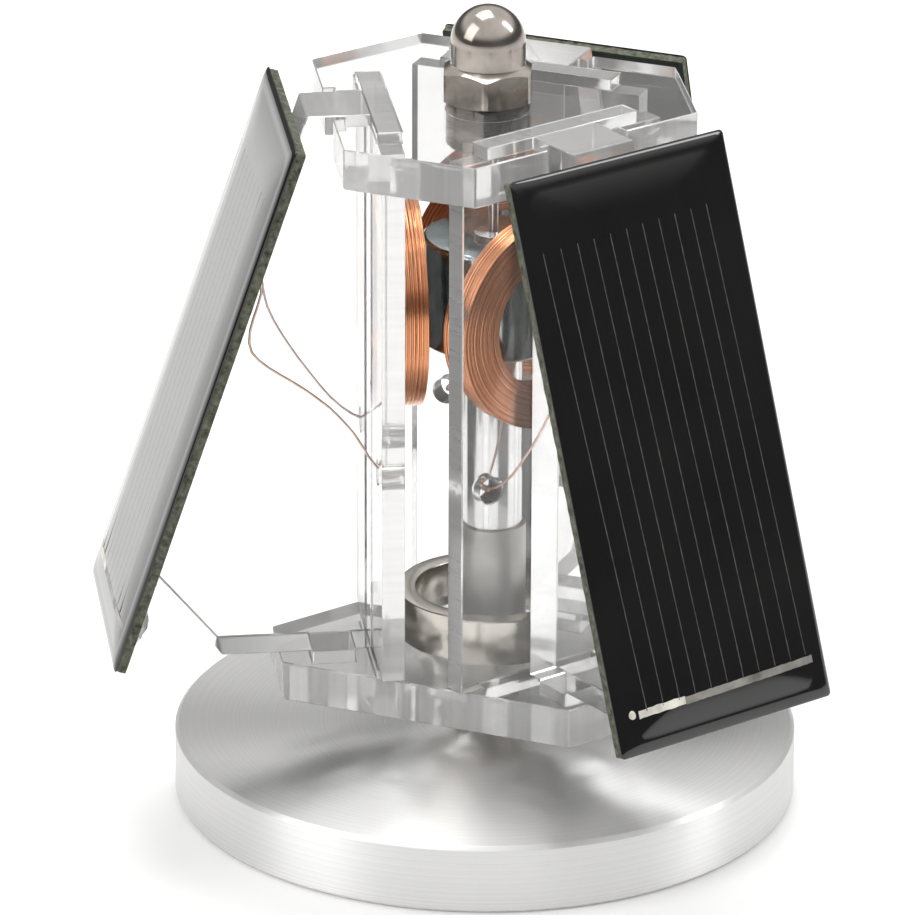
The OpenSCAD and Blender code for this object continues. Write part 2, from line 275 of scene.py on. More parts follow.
def lathed_metal(name, dark, light, rough, lines_per_mm=3.0, depth_mm=0.002):
    """A metal with faint tool marks round the Z axis. `rough` is its lowest and highest roughness."""
    s = Shader(name, Metallic=1.0)
    s.colour(s.grain(260, 5), dark, light)
    s.roughness(s.grain(420, 6), *rough)
    s.bump(s.turning(lines_per_mm), depth_mm)
    return s.material


def clear_acrylic():
    s = Shader("clear_acrylic", Transmission_Weight=0.97, IOR=1.49)
    s.colour(s.grain(90, 5), (0.97, 0.97, 0.97), (0.99, 0.99, 0.99))
    s.roughness(s.grain(140, 6), 0.0, 0.035)
    s.bump(s.grain(60, 2), 0.004)
    return s.material


def cut_acrylic(name, across, angle=0):
    """The laser-cut edge of a sheet. Its streaks run through the sheet, along the axis numbered `across`."""
    s = Shader(name, Transmission_Weight=0.72, IOR=1.49)
    fine, coarse = 1500, 60
    scale = [fine, fine, fine]
    scale[across] = coarse
    streaks = s.grain(1, 3, s.stretched(scale, angle))
    s.colour(streaks, (0.90, 0.89, 0.88), (0.98, 0.98, 0.975))
    s.roughness(streaks, 0.03, 0.16)
    s.bump(streaks, 0.004)
    return s.material


def enamelled_copper(side, angle):
    """The turns of a coil: each differs a little in colour and gloss from the next."""
    s = Shader(f"copper_coil_{side}", Metallic=1.0, Coat_Weight=0.3, Coat_Roughness=0.15)
    turns = s.winding(4.5, angle)
    s.colour(turns, (0.46, 0.15, 0.06), (0.88, 0.41, 0.21), 0.27, 0.63)
    s.roughness(s.grain(150, 3), 0.18, 0.26)
    s.bump(turns, 0.02)
    return s.material


def lead_wire():
    s = Shader("lead_wire", Metallic=1.0, Coat_Weight=0.3, Coat_Roughness=0.2)
    s.colour(s.grain(700, 3), (0.60, 0.42, 0.35), (0.80, 0.62, 0.55))
    s.roughness(s.grain(1200, 2), 0.3, 0.45)
    return s.material


def black_resin():
    s = Shader("black_resin", IOR=1.6, Coat_Weight=0.1, Coat_Roughness=0.04)
    s.colour(s.grain(90, 4), (0.0022, 0.0023, 0.0024), (0.006, 0.006, 0.006))
    s.roughness(s.grain(70, 5), 0.03, 0.09)
    s.bump(s.grain(45, 2), 0.02)
    return s.material


def circuit_board():
    s = Shader("circuit_board", Specular_IOR_Level=0.35)
    s.colour(s.grain(1300, 6, rough=0.7), (0.02, 0.024, 0.017), (0.19, 0.20, 0.14), 0.34, 0.74)
    s.roughness(s.grain(600, 4), 0.55, 0.85)
    s.bump(s.grain(1700, 5), 0.08)
    return s.material


def board_back():
    """The dark lacquer on the back of a panel, a little uneven in colour and gloss."""
    s = Shader("board_back", Specular_IOR_Level=0.4)
    s.colour(s.grain(260, 5), (0.008, 0.016, 0.011), (0.018, 0.032, 0.022))
    s.roughness(s.grain(420, 4), 0.34, 0.5)
    s.bump(s.grain(1500, 3), 0.012)
    return s.material


def silicon():
    s = Shader("silicon", Metallic=0.3)
    s.colour(s.grain(500, 5), (0.004, 0.006, 0.02), (0.012, 0.016, 0.045))
    s.roughness(s.grain(300, 3), 0.2, 0.35)
    return s.material


def silver_contact():
    s = Shader("silver_contact", IOR=1.6, Coat_Weight=0.1, Coat_Roughness=0.04)
    s.colour(s.grain(800, 5), (0.05, 0.05, 0.047), (0.11, 0.11, 0.103))
    s.roughness(s.grain(70, 5), 0.03, 0.09)
    s.bump(s.grain(45, 2), 0.02)
    return s.material


def bar_metal(name, dark, light):
    s = Shader(name, Metallic=0.2)
    s.colour(s.grain(420, 5), dark, light)
    s.roughness(s.grain(900, 4), 0.3, 0.55)
    s.bump(s.grain(1300, 3), 0.04)
    return s.material


def solder():
    s = Shader("solder", Metallic=0.7)
    s.colour(s.grain(900, 5), (0.56, 0.55, 0.52), (0.86, 0.85, 0.82))
    s.roughness(s.grain(700, 4), 0.3, 0.6)
    s.bump(s.grain(1100, 5), 0.08)
    return s.material


def tinned_copper():
    s = Shader("tinned_copper", Metallic=0.35)
    s.colour(s.grain(1800, 4), (0.50, 0.36, 0.28), (0.78, 0.68, 0.60))
    s.roughness(s.grain(900, 4), 0.35, 0.55)
    s.bump(s.grain(2200, 3), 0.02)
    return s.material


def clear_tape():
    s = Shader("clear_tape", Transmission_Weight=0.55, IOR=1.4, Specular_IOR_Level=0.4)
    s.colour(s.grain(1100, 6), (0.72, 0.72, 0.70), (0.93, 0.93, 0.91))
    s.roughness(s.grain(700, 4), 0.35, 0.6)
    s.bump(s.grain(2200, 4), 0.03)
    return s.material


def ruby():
    s = Shader("ruby", Transmission_Weight=0.7, IOR=1.76)
    s.colour(s.grain(2000, 3), (0.45, 0.01, 0.05), (0.65, 0.03, 0.10))
    s.roughness(s.grain(1500, 3), 0.03, 0.12)
    return s.material


def pale_floor():
    s = Shader("pale_floor", Specular_IOR_Level=0.15)
    s.colour(s.grain(30, 3), (0.90, 0.90, 0.90), (0.925, 0.925, 0.925))
    s.roughness(s.grain(60, 3), 0.6, 0.75)
    return s.material


ALUMINIUM = turned_aluminium()
MATT_STEEL = lathed_metal("matt_steel", (0.62, 0.60, 0.57), (0.71, 0.69, 0.66), (0.5, 0.6), 6, 0.003)
POLISHED_STEEL = lathed_metal("polished_steel", (0.74, 0.74, 0.74), (0.84, 0.84, 0.83), (0.16, 0.24))
DARK_STEEL = lathed_metal("dark_steel", (0.012, 0.012, 0.011), (0.06, 0.058, 0.055), (0.2, 0.32), 2, 0.02)
NUT_STEEL = lathed_metal("nut_steel", (0.29, 0.26, 0.235), (0.47, 0.43, 0.39), (0.10, 0.2), 5, 0.0015)
MAGNET_NICKEL = lathed_metal("magnet_nickel", (0.33, 0.38, 0.39), (0.50, 0.55, 0.55), (0.07, 0.16), 2, 0.001)
RING_NICKEL = lathed_metal("ring_nickel", (0.58, 0.55, 0.50), (0.66, 0.62, 0.57), (0.2, 0.25), 4, 0.003)
CLEAR_ACRYLIC = clear_acrylic()
PLATE_EDGE = cut_acrylic("plate_edge", 2)
BOARD_EDGE = {side: cut_acrylic(f"board_edge_{side}", 1, -angle) for side, angle in SIDES.items()}
FIN_EDGE = {side: cut_acrylic(f"fin_edge_{side}", 0, -angle) for side, angle in SIDES.items()}
COPPER = {side: enamelled_copper(side, angle) for side, angle in SIDES.items()}
LEAD_WIRE = lead_wire()
BLACK_RESIN = black_resin()
CIRCUIT_BOARD = circuit_board()
BOARD_BACK = board_back()
SILICON = silicon()
SILVER_CONTACT = silver_contact()
TINNED_BAR = bar_metal("tinned_bar", (0.42, 0.41, 0.37), (0.86, 0.83, 0.74))
PLAIN_BAR = bar_metal("plain_bar", (0.12, 0.12, 0.11), (0.33, 0.32, 0.29))
SOLDER = solder()
TINNED_COPPER = tinned_copper()
CLEAR_TAPE = clear_tape()
RUBY = ruby()


# ---------------------------------------------------------------- making pieces

def beside(angle):
    return Matrix.Rotation(math.radians(angle), 4, "Z")


def on_panel(angle):
    """A panel's own frame: x sideways, y inwards from the front face, z up the slope from the top edge."""
    top_edge = Matrix.Translation((0, -PANEL_R * MM, PANEL_Z * MM))
    return beside(angle) @ top_edge @ Matrix.Rotation(math.radians(-SLANT), 4, "X")


def add_piece(name, data, body, slot, *nodes):
    piece = bpy.data.objects.new(name, data)
    bpy.context.scene.collection.objects.link(piece)
    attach(piece, body)
    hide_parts(*nodes)
    return piece


def mesh_piece(name, bm, materials, body, slot, *nodes, sharp=14, matrix=None):
    """A piece from a bmesh in metres. Edges that turn by more than `sharp` degrees stay crisp."""
    if matrix is not None:
        bm.transform(matrix)
    bmesh.ops.recalc_face_normals(bm, faces=bm.faces)
    data = bpy.data.meshes.new(name)
    bm.to_mesh(data)
    bm.free()
    for material in materials:
        data.materials.append(material)
    data.polygons.foreach_set("use_smooth", [True] * len(data.polygons))
    data.set_sharp_from_angle(angle=math.radians(sharp))
    return add_piece(name, data, body, slot, *nodes)


def softened(outline, reach, steps=3):
    """An outline with each inner corner rounded, starting `reach` mm before the corner."""
    soft = [outline[0]]
    for before, corner, after in zip(outline, outline[1:], outline[2:]):
        corner = Vector(corner)
        start = corner + (Vector(before) - corner).normalized() * reach
        end = corner + (Vector(after) - corner).normalized() * reach
        for k in range(steps + 1):
            t = k / steps
            soft.append(tuple(start * (1 - t) ** 2 + corner * 2 * t * (1 - t) + end * t ** 2))
    soft.append(outline[-1])
    return soft


def lathed(outline, segments=192, closed=False):
    """A bmesh turned round Z from an outline of (radius, height) in mm. A closed outline makes a ring."""
    on_axis = 1e-6
    bm = bmesh.new()
    rings = []
    for radius, height in outline:
        if radius < on_axis:
            rings.append([bm.verts.new((0, 0, height * MM))])
            continue
        ring = []
        for k in range(segments):
            turn = 2 * math.pi * k / segments
            x, y = radius * MM * math.cos(turn), radius * MM * math.sin(turn)
            ring.append(bm.verts.new((x, y, height * MM)))
        rings.append(ring)
    pairs = list(zip(rings, rings[1:]))
    if closed:
        pairs.append((rings[-1], rings[0]))
    for lower, upper in pairs:
        join_rings(bm, lower, upper)
    return bm


def join_rings(bm, lower, upper):
    """Faces between two rings. Either of them may be a single point on the axis."""
    count = max(len(lower), len(upper))
    if count == 1:
        return
    for k in range(count):
        nxt = (k + 1) % count
        corners = [
            lower[k % len(lower)], lower[nxt % len(lower)], upper[nxt % len(upper)], upper[k % len(upper)],
        ]
        bm.faces.new(list(dict.fromkeys(corners)))


def box_mm(node):
    """The lowest and highest corner of a CAD node's box, in mm."""
    low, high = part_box(node)
    return Vector(low) / MM, Vector(high) / MM


# ---------------------------------------------------------------- the leads

def lead_curve(name, routes, angle):
    """A round wire along each route, with the route's own points."""
    curve = bpy.data.curves.new(name, "CURVE")
    curve.dimensions = "3D"
    curve.bevel_depth = LEAD_D / 2 * MM
    curve.bevel_resolution = 3
    curve.use_fill_caps = True
    curve.materials.append(LEAD_WIRE)
    for route in routes:
        spline = curve.splines.new("POLY")
        spline.points.add(len(route) - 1)
        for point, (x, radius, z) in zip(spline.points, route):
            point.co = (*(beside(angle) @ Vector((x * MM, -radius * MM, z * MM))), 1)
    return curve


def make_leads(side, angle):
    for which, route in (("left", LEFT_LEAD), ("right", RIGHT_LEAD)):
        name = f"{which}_wire_{side}"
        curve = lead_curve(name, [route], angle)
        wire = add_piece(name, curve, "rotor", "copper_wire", f"{which}_lead_{side}")
    mirrored = [(-x, radius, z) for x, radius, z in COIL_LEAD]
    name = f"coil_tails_{side}"
    curve = lead_curve(name, [COIL_LEAD, mirrored], angle)
    add_piece(name, curve, "rotor", "copper_wire", f"coil_leads_{side}")


# ---------------------------------------------------------------- base and post

def make_base():
    top = box_mm("base_disc")[1]
    radius, height = top.x, top.z
    chamfer = 0.5
    outline = softened([
        (0, 0), (radius - chamfer, 0), (radius, chamfer), (radius, height - chamfer),
        (radius - chamfer, height), (0, height),
    ], 0.08)
    bm = lathed(outline, segments=384)
    mesh_piece("turned_base", bm, [ALUMINIUM], "stand", "turned_aluminium", "base_disc")


def make_post():
    low, high = box_mm("lower_post")
    outline = softened([(0, low.z), (high.x, low.z), (high.x, high.z), (0, high.z)], 0.12)
    mesh_piece("matt_post", lathed(outline), [MATT_STEEL], "stand", "matt_steel", "lower_post")

    step_z = high.z
    low, high = box_mm("upper_rod")
    chamfer = 0.4
    tenon_r = 2.5
    outline = softened([
        (0, low.z), (tenon_r, low.z), (tenon_r, step_z), (high.x, step_z), (high.x, high.z - chamfer),
        (high.x - chamfer, high.z), (0, high.z),
    ], 0.06)
    mesh_piece("bright_rod", lathed(outline), [POLISHED_STEEL], "stand", "polished_steel", "upper_rod")


def make_magnet():
    low, high = box_mm("magnet")
    chamfer = 0.4
    outline = softened([
        (0, low.z), (high.x - chamfer, low.z), (high.x, low.z + chamfer), (high.x, high.z - chamfer),
        (high.x - chamfer, high.z), (0, high.z),
    ], 0.16)
    mesh_piece("plated_magnet", lathed(outline), [MAGNET_NICKEL], "stand", "magnet_nickel", "magnet")


def make_needle():
    low, high = box_mm("pivot_needle")
    foot_top, shank_r, cone_l, tip_r = low.z + 0.6, 0.6, 2.6, 0.08
    outline = softened([
        (0, low.z), (high.x, low.z), (high.x, foot_top), (shank_r, foot_top), (shank_r, high.z - cone_l),
        (tip_r, high.z - 0.05), (0, high.z),
    ], 0.04)
    mesh_piece("needle_pin", lathed(outline, 96), [POLISHED_STEEL], "stand", "polished_steel", "pivot_needle")


# ---------------------------------------------------------------- hub of the rotor

# The hair of air round each clear piece. The bush is pressed in, so it reaches across the gap.
AIR_GAP = 0.025

# The domed cap nut
NUT_FLATS = 9.8
NUT_CORNER_R = NUT_FLATS / 2 / math.cos(math.radians(30))
NUT_CONE = math.tan(math.radians(30))
NUT_HEX_H = 3.9
NUT_BORE_R = 3
NUT_TURN = 50
DOME_R = 4.25


def make_ring():
    low, high = box_mm("ballast_ring")
    bore_r = 8
    seam = (bore_r, (low.z + high.z) / 2)
    corners = [(bore_r, low.z), (high.x, low.z), (high.x, high.z), (bore_r, high.z)]
    outline = softened([seam, *corners, seam], 0.3)[:-1]
    bm = lathed(outline, closed=True)
    mesh_piece("plated_ring", bm, [RING_NICKEL], "rotor", "ring_nickel", "ballast_ring")


def make_bush():
    low, high = box_mm("pivot_bush")
    plate_top = box_mm("top_plate")[1].z
    jewel_low, jewel_high = box_mm("pivot_jewel")
    mouth_r, thread_r, chamfer = 3.2, 3, 0.5
    grip_r = high.x + 2 * AIR_GAP
    outline = [
        (mouth_r, low.z), (high.x - chamfer, low.z), (grip_r, low.z + chamfer), (grip_r, plate_top - AIR_GAP),
        (thread_r, plate_top - AIR_GAP), (thread_r, high.z), (0, high.z), (0, jewel_high.z),
        (jewel_high.x, jewel_high.z), (jewel_high.x, jewel_low.z), (mouth_r, low.z),
    ]
    bm = lathed(softened(outline, 0.05))
    mesh_piece("bush_body", bm, [DARK_STEEL], "rotor", "dark_steel", "pivot_bush")


def hexagon_reach(angle, flats):
    """Distance from the axis to the side of a hexagon, at an angle in radians from a corner."""
    sixth = math.radians(60)
    return flats / 2 / math.cos((angle % sixth) - sixth / 2)


def nut_section(side_r, bottom, top):
    """One upright section of the nut, as (radius, height), where its hexagon reaches out to side_r."""
    shoulder = bottom + NUT_HEX_H
    foot_cut, shoulder_cut = 0.55, 0.95
    under = max(0, side_r - (NUT_CORNER_R - foot_cut)) * NUT_CONE
    over = max(0, side_r - (NUT_CORNER_R - shoulder_cut)) * NUT_CONE
    hexagon = [
        (NUT_BORE_R, bottom),
        (min(side_r, NUT_CORNER_R - 0.6), bottom),
        (side_r, bottom + under + 0.02),
        (side_r, shoulder - over),
        (min(side_r, NUT_CORNER_R - shoulder_cut) - 0.1, shoulder + 0.05),
    ]
    neck = [(DOME_R + 0.22, shoulder + 0.12), (DOME_R + 0.05, shoulder + 0.2), (DOME_R, shoulder + 0.42)]
    steps = 20
    arc = [math.radians(90) * k / steps for k in range(steps)]
    dome = [(DOME_R * math.cos(a), top - DOME_R + DOME_R * math.sin(a)) for a in arc]
    return hexagon + neck + dome


def make_nut():
    """A domed cap nut: a hexagon whose corners are cut by a cone above and below, and a polished dome."""
    low, high = box_mm("cap_nut")
    corner_round = 0.16
    per_side = 24
    bm = bmesh.new()
    columns = []
    for k in range(6 * per_side):
        angle = math.radians(60) * k / per_side
        side_r = min(hexagon_reach(angle, NUT_FLATS), NUT_CORNER_R - corner_round)
        spin = angle + math.radians(NUT_TURN)
        column = []
        for r, z in nut_section(side_r, low.z, high.z):
            column.append(bm.verts.new((r * MM * math.cos(spin), r * MM * math.sin(spin), z * MM)))
        columns.append(column)
    tip = bm.verts.new((0, 0, high.z * MM))
    for left, right in zip(columns, columns[1:] + columns[:1]):
        for n in range(len(left) - 1):
            bm.faces.new((left[n], right[n], right[n + 1], left[n + 1]))
        bm.faces.new((left[-1], right[-1], tip))
    mesh_piece("domed_nut", bm, [NUT_STEEL], "rotor", "nut_steel", "cap_nut", sharp=20)


# ---------------------------------------------------------------- clear acrylic

EDGE_BREAK = 0.14


def clear_piece(name, node, across, edge_material):
    """The CAD sheet with a hair of air round it and its sharp edges broken. `across` points through it."""
    flat_on = 0.9
    bm = bmesh.new()
    bm.from_mesh(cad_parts[node].data)
    bmesh.ops.remove_doubles(bm, verts=bm.verts, dist=1e-6)
    bmesh.ops.dissolve_limit(bm, angle_limit=math.radians(1), verts=bm.verts, edges=bm.edges)
    bm.normal_update()
    moves = [(v, v.normal * (AIR_GAP * MM * v.calc_shell_factor())) for v in bm.verts]
    for vertex, move in moves:
        vertex.co -= move
    crisp = [e for e in bm.edges if e.is_manifold and e.calc_face_angle() > math.radians(30)]
    bmesh.ops.bevel(
        bm, geom=crisp, offset=EDGE_BREAK * MM, segments=1, affect="EDGES", clamp_overlap=True,
    )
    bm.normal_update()
    for face in bm.faces:
        face.material_index = 0 if abs(face.normal.dot(across)) > flat_on else 1
    mesh_piece(name, bm, [CLEAR_ACRYLIC, edge_material], "rotor", "clear_acrylic", node, sharp=20)


def make_cage():
    up = Vector((0, 0, 1))
    clear_piece("clear_top", "top_plate", up, PLATE_EDGE)
    clear_piece("clear_bottom", "bottom_plate", up, PLATE_EDGE)
    for side, angle in SIDES.items():
        outwards = beside(angle) @ Vector((0, -1, 0))
        sideways = beside(angle) @ Vector((1, 0, 0))
        clear_piece(f"clear_board_{side}", f"coil_board_{side}", outwards, BOARD_EDGE[side])
        clear_piece(f"clear_fin_{side}", f"fin_{side}", sideways, FIN_EDGE[side])


# ---------------------------------------------------------------- coils

def turns_outline(rng):
    """The section of a wound coil, as (radius, height): a bump for each turn of wire on all four sides."""
    inner, outer = COIL_BORE / 2, COIL_D / 2
    depth, per_turn, sunk = 0.055, 4, 0.6
    margin = depth * 1.2

    def bumps(start, end):
        count = round((Vector(end) - Vector(start)).length / WIRE_PITCH)
        along = (Vector(end) - Vector(start)) / count
        outwards = Vector((along.y, -along.x)).normalized()
        points = []
        for turn in range(count):
            lift = rng.uniform(-0.4, 0.2) * depth
            for k in range(per_turn):
                t = k / per_turn
                rise = lift + depth * (math.sin(math.pi * t) - sunk)
                points.append(tuple(Vector(start) + along * (turn + t) + outwards * rise))
        return points

    corners = [(inner + margin, margin), (outer - margin, margin),
               (outer - margin, COIL_T - margin), (inner + margin, COIL_T - margin)]
    outline = []
    for start, end in zip(corners, corners[1:] + corners[:1]):
        outline += bumps(start, end)
    return outline


def make_coil(side, angle):
    rng = random.Random(f"coil {side}")
    bm = lathed(turns_outline(rng), 144, closed=True)
    for vertex in bm.verts:
        spot = vertex.co * 120
        wander = Vector([noise.noise(spot + Vector((shift, 0, 0))) for shift in (0, 5, 10)])
        vertex.co += wander * 0.02 * MM
    place = beside(angle) @ Matrix.Translation((0, -(BOARD_R - COIL_T) * MM, COIL_Z * MM))
    place = place @ Matrix.Rotation(math.radians(90), 4, "X")
    mesh_piece(f"wound_coil_{side}", bm, [COPPER[side]], "rotor", "copper_wire", f"coil_{side}",
               sharp=75, matrix=place)


# ---------------------------------------------------------------- solar panels

def rounded_rectangle(width, length, corner, across, along):
    """Points round a rectangle with round corners, in mm, about its centre. Its sides have `across` and
    `along` parts, so two outlines with the same numbers of parts can be joined."""
    corner_steps = 6
    arcs = []
    for turn, (sx, sy) in enumerate(((1, 1), (-1, 1), (-1, -1), (1, -1))):
        centre = Vector((sx * (width / 2 - corner), sy * (length / 2 - corner)))
        angles = [math.radians(90 * (turn + k / corner_steps)) for k in range(corner_steps + 1)]
        arcs.append([centre + corner * Vector((math.cos(a), math.sin(a))) for a in angles])
    full = []
    for arc, following, parts in zip(arcs, arcs[1:] + arcs[:1], (across, along, across, along)):
        full += arc[:-1]
        full += [arc[-1].lerp(following[0], k / parts) for k in range(parts)]
    return full


def loops_to_slab(bm, loops):
    """Joins loops of the same number of points, closes the first and the last, and returns the last face."""
    rings = [[bm.verts.new(p) for p in loop] for loop in loops]
    for lower, upper in zip(rings, rings[1:]):
        join_rings(bm, lower, upper)
    bm.faces.new(rings[0][::-1])
    return bm.faces.new(rings[-1])


def resin_depth(inset):
    """How far the poured surface lies behind the panel's front, at a distance from the panel's side."""
    nearness = max(0, 1 - (inset - RESIN_ROUND) / (MENISCUS_W - RESIN_ROUND))
    return MENISCUS_DROP * min(nearness, 1) ** 2


def make_resin(side, angle):
    """The glossy cover: a poured slab whose front edge rolls over into the sides."""
    bm = bmesh.new()
    loops = []
    steps = 8
    levels = [(0, RESIN_T)]
    for k in range(steps + 1):
        a = math.radians(90 * k / steps)
        levels.append((RESIN_ROUND * (1 - math.cos(a)), MENISCUS_DROP + RESIN_ROLL * (1 - math.sin(a))))
    for k in range(1, 2 * steps + 1):
        inset = RESIN_ROUND + (MENISCUS_W - RESIN_ROUND) * k / (2 * steps)
        levels.append((inset, resin_depth(inset)))
    for inset, depth in levels:
        corner = RESIN_CORNER + CORNER_GROWTH * inset
        outline = rounded_rectangle(PANEL_W - 2 * inset, PANEL_L - 2 * inset, corner, 12, 26)
        loops.append([Vector((p.x * MM, depth * MM, (p.y - PANEL_L / 2) * MM)) for p in outline])
    loops_to_slab(bm, loops)
    mesh_piece(f"poured_resin_{side}", bm, [BLACK_RESIN], "rotor", "black_resin", f"resin_cover_{side}",
               sharp=25, matrix=on_panel(angle))


def make_board(side, angle):
    """The circuit board behind the resin, with the uneven edge that a saw leaves."""
    bm = bmesh.new()
    loops = []
    sawn_off, gap, wear_scale = 0.1, 0.01, 1.7
    outline = rounded_rectangle(PANEL_W - sawn_off, PANEL_L - sawn_off, 0.3, 64, 140)
    levels = 6
    for level in range(levels + 1):
        depth = RESIN_T + gap + (PCB_T - 2 * gap) * level / levels
        loop = []
        for p in outline:
            wear = noise.noise(Vector((p.x * wear_scale, p.y * wear_scale, depth * 4 + angle)))
            shrink = 1 - (0.10 + 0.09 * wear) / p.length
            loop.append(Vector((p.x * shrink * MM, depth * MM, (p.y * shrink - PANEL_L / 2) * MM)))
        loops.append(loop)
    back = loops_to_slab(bm, loops)
    back.material_index = 1
    mesh_piece(f"sawn_board_{side}", bm, [CIRCUIT_BOARD, BOARD_BACK], "rotor", "circuit_board",
               f"panel_board_{side}", sharp=30, matrix=on_panel(angle))


def strip(bm, centre, width, length, askew, material_index, rng, wobble):
    """A thin printed strip on the front face, standing GRID_PROUD out, with slightly uneven sides."""
    turn = Matrix.Rotation(math.radians(askew), 2)
    pieces = round(length / STRIP_STEP)
    left, right = [], []
    for k in range(pieces + 1):
        z = (k / pieces - 0.5) * length
        for side_points, sign in ((left, -1), (right, 1)):
            flat = Vector((sign * (width / 2 + rng.uniform(-wobble, wobble)), z))
            side_points.append(Vector(centre) + turn @ flat)

    def on_resin(p, behind):
        inset = min(PANEL_W / 2 - abs(p.x), p.y, PANEL_L - p.y)
        return bm.verts.new((p.x * MM, (resin_depth(inset) + behind) * MM, -p.y * MM))

    low = [[on_resin(p, GRID_BURIED) for p in line] for line in (left, right)]
    top = [[on_resin(p, -GRID_PROUD) for p in line] for line in (left, right)]
    for k in range(pieces):
        for quad in (
            (top[0][k], top[1][k], top[1][k + 1], top[0][k + 1]),
            (low[0][k], top[0][k], top[0][k + 1], low[0][k + 1]),
            (top[1][k], low[1][k], low[1][k + 1], top[1][k + 1]),
            (low[1][k], low[0][k], low[0][k + 1], low[1][k + 1]),
        ):
            bm.faces.new(quad).material_index = material_index
    for k in (0, pieces):
        bm.faces.new((low[0][k], low[1][k], top[1][k], top[0][k])).material_index = material_index


def make_contacts(side, angle):
    """The printed fingers, the busbar below them in its tinned and plain parts, and the bead at its end."""
    rng = random.Random(f"grid {side}")
    bm = bmesh.new()
    skew = math.radians(CELL_ASKEW)
    for k in range(FINGER_COUNT):
        sideways = (k - (FINGER_COUNT - 1) / 2) * FINGER_PITCH
        centre = (FINGER_X + sideways * math.cos(skew), FINGER_S + sideways * math.sin(skew))
        strip(bm, centre, FINGER_W, FINGER_L, CELL_ASKEW, 0, rng, 0.015)
    tinned = BAR_X - BAR_W / 2 + TINNED_W / 2
    plain = BAR_X + TINNED_W / 2
    strip(bm, (tinned, TINNED_S), TINNED_H, TINNED_W, 90 + CELL_ASKEW / 2, 1, rng, 0.06)
    strip(bm, (plain, BAR_S), PLAIN_H, BAR_W - TINNED_W, 90 + CELL_ASKEW / 2, 2, rng, 0.04)
    bead = bmesh.ops.create_icosphere(bm, subdivisions=3, radius=BEAD_R * MM)
    flatness = 0.17
    for vertex in bead["verts"]:
        lump = 1 + 0.12 * noise.noise(vertex.co * 2500)
        vertex.co = Vector((vertex.co.x * lump, vertex.co.y * flatness, vertex.co.z * lump))
        vertex.co += Vector((BEAD_X * MM, resin_depth(PANEL_W / 2 + BEAD_X) * MM, -BAR_S * MM))
    for face in {f for v in bead["verts"] for f in v.link_faces}:
        face.material_index = 1
    mesh_piece(f"printed_contacts_{side}", bm, [SILVER_CONTACT, TINNED_BAR, PLAIN_BAR], "rotor",
               "silver_contact", f"contact_grid_{side}", sharp=40, matrix=on_panel(angle))


def solder_lump(bm, x, s, radius, height, seed):
    """A frozen pool of solder on the back of the panel, flat underneath, with a wrinkled skin."""
    made = bmesh.ops.create_icosphere(bm, subdivisions=4, radius=1)["verts"]
    back = RESIN_T + PCB_T
    for vertex in made:
        lump = 0.84 + 0.22 * noise.noise(vertex.co * 2.4 + Vector((seed, 0, 0)))
        lump -= 0.16 * abs(noise.noise(vertex.co * 6 + Vector((0, seed, 0))))
        rise = max(vertex.co.y, 0) * height * lump
        vertex.co = Vector(((x + vertex.co.x * radius * lump) * MM, (back + rise) * MM,
                            (vertex.co.z * radius * lump - s) * MM))


def make_solder(side, angle):
    bm = bmesh.new()
    solder_lump(bm, -9, 15, 1.2, 0.6, 3.1)
    solder_lump(bm, 9, 17, 1.2, 0.6, 5.7)
    solder_lump(bm, 10.5, 60.2, 3.2, 1.7, 9.2 + angle)
    mesh_piece(f"solder_pools_{side}", bm, [SOLDER], "rotor", "solder", f"solder_pads_{side}",
               sharp=60, matrix=on_panel(angle))


def make_joints(side, angle):
    """The two small joints in the board's holes, where a lead meets the coil's end."""
    low, high = box_mm("lead_joints_a")
    half_l, middle = (high.y - low.y) / 2, (high.y + low.y) / 2
    joint_r = 0.4
    bm = bmesh.new()
    for end in (-1, 1):
        made = bmesh.ops.create_icosphere(bm, subdivisions=4, radius=1)["verts"]
        for vertex in made:
            lump = 0.9 + 0.1 * noise.noise(vertex.co * 2 + Vector((end * 4, angle, 0)))
            vertex.co = Vector(((end * HOLE_X + vertex.co.x * joint_r * lump) * MM,
                                (middle + vertex.co.y * half_l * lump) * MM,
                                (HOLE_Z + vertex.co.z * joint_r * lump) * MM))
    mesh_piece(f"wire_joints_{side}", bm, [TINNED_COPPER], "rotor", "solder", f"lead_joints_{side}",
               sharp=60, matrix=beside(angle))


def make_tape(side, angle):
    """The strip of clear mounting tape between the fin and the panel."""
    low, high = box_mm("fin_tape_a")
    width, thickness = high.x - low.x, 0.9
    slant = math.radians(SLANT)
    start = 1.6
    end = start + (high.z - low.z - thickness * math.sin(slant)) / math.cos(slant)
    bm = bmesh.new()
    loops = []
    for inset, depth in ((0.12, 0.02), (0.0, 0.14), (0.05, 0.45), (0.0, 0.76), (0.12, 0.88)):
        outline = rounded_rectangle(width - 2 * inset, end - start - 2 * inset, 0.4, 2, 40)
        y = RESIN_T + PCB_T + depth
        loops.append([Vector((p.x * MM, y * MM, (p.y - (start + end) / 2) * MM)) for p in outline])
    loops_to_slab(bm, loops)
    mesh_piece(f"mounting_tape_{side}", bm, [CLEAR_TAPE], "rotor", "clear_tape", f"fin_tape_{side}",
               sharp=30, matrix=on_panel(angle))


# ---------------------------------------------------------------- carried-over CAD nodes

def finish_node(node, material):
    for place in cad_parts[node].material_slots:
        place.material = material


def finish_nodes():
    finish_node("post_stud", DARK_STEEL)
    finish_node("pivot_jewel", RUBY)
    for side in SIDES:
        finish_node(f"solar_cell_{side}", SILICON)


# ---------------------------------------------------------------- floor and light

FLOOR_REACH = 3


def make_floor():
    bm = bmesh.new()
    bmesh.ops.create_grid(bm, x_segments=2, y_segments=2, size=FLOOR_REACH)
    data = bpy.data.meshes.new("floor")
    bm.to_mesh(data)
    bm.free()
    data.materials.append(pale_floor())
    floor = bpy.data.objects.new("floor", data)
    bpy.context.scene.collection.objects.link(floor)


